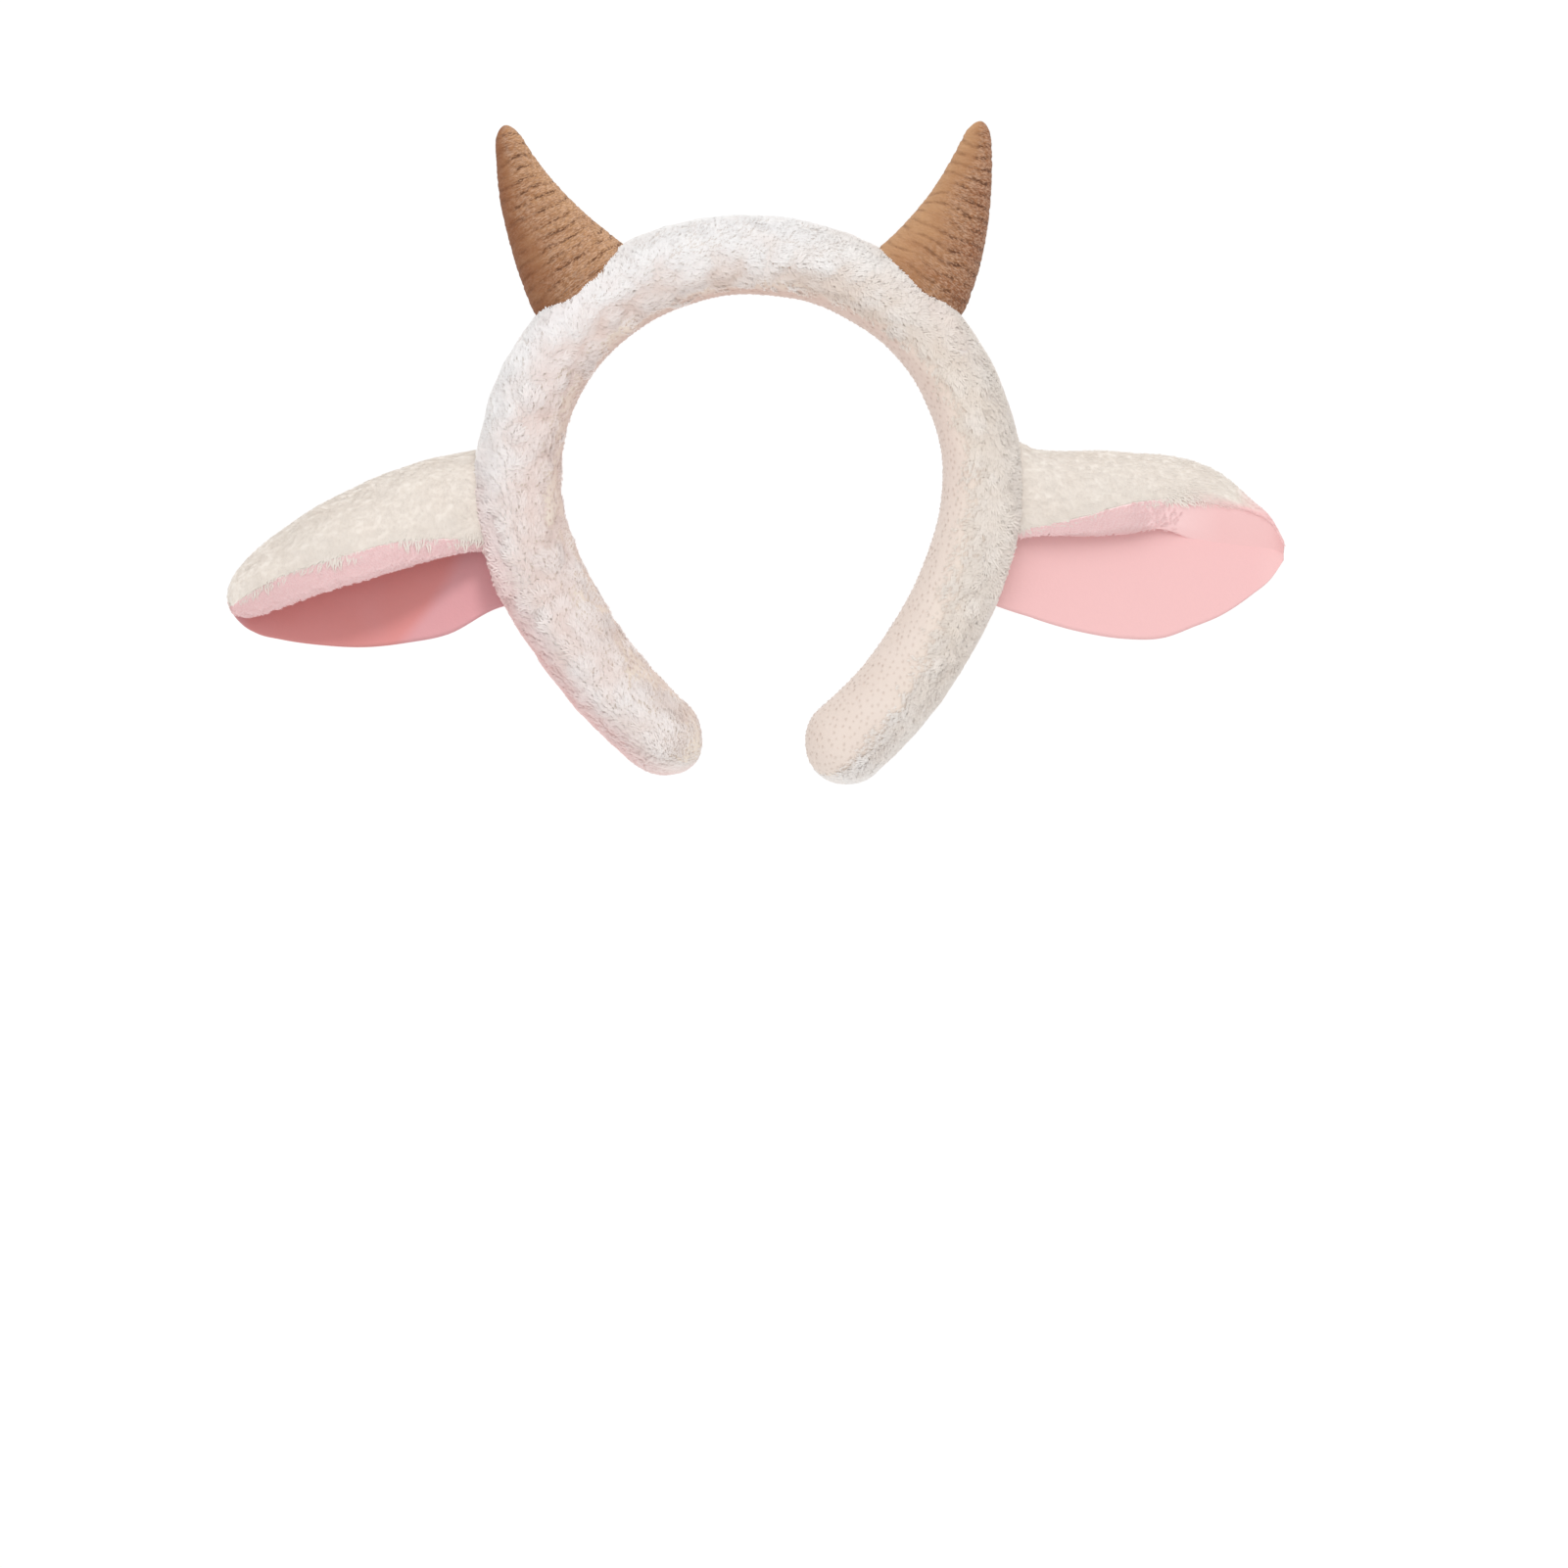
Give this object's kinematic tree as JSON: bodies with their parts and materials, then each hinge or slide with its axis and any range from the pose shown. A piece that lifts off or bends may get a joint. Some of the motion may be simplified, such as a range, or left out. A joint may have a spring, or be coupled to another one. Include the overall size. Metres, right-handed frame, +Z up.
{
  "type": "lamb ears headband",
  "caption": "Padded fleece hoop headband, open at the nape, with a smooth inner lining, folded plush ears lined in pink velvet and curved stuffed horns of ribbed cloth.",
  "frame": {"origin": "on the table under the middle of the headband's bounding box", "axes": "+X to the wearer's left ear side as the picture shows it on the right, +Y towards the crown, +Z up from the table, out of the headband's front"},
  "size_m": [0.3352, 0.2104, 0.0338],
  "materials": {
    "band_fleece": "cream sherpa fleece with a short curled pile",
    "band_lining": "warm cream short-pile velour, smooth",
    "ear_plush": "cream plush with a fine short pile",
    "ear_velvet": "pale pink velvet",
    "horn_jersey": "tan-brown ribbed jersey with dark valleys"
  },
  "bodies": {
    "root": {"band_cover": "band_fleece", "band_lining": "band_lining", "ear_back_left": "ear_plush", "ear_lining_left": "ear_velvet", "ear_back_right": "ear_plush", "ear_lining_right": "ear_velvet", "horn_left": "horn_jersey", "horn_right": "horn_jersey"}
  },
  "joints": []
}
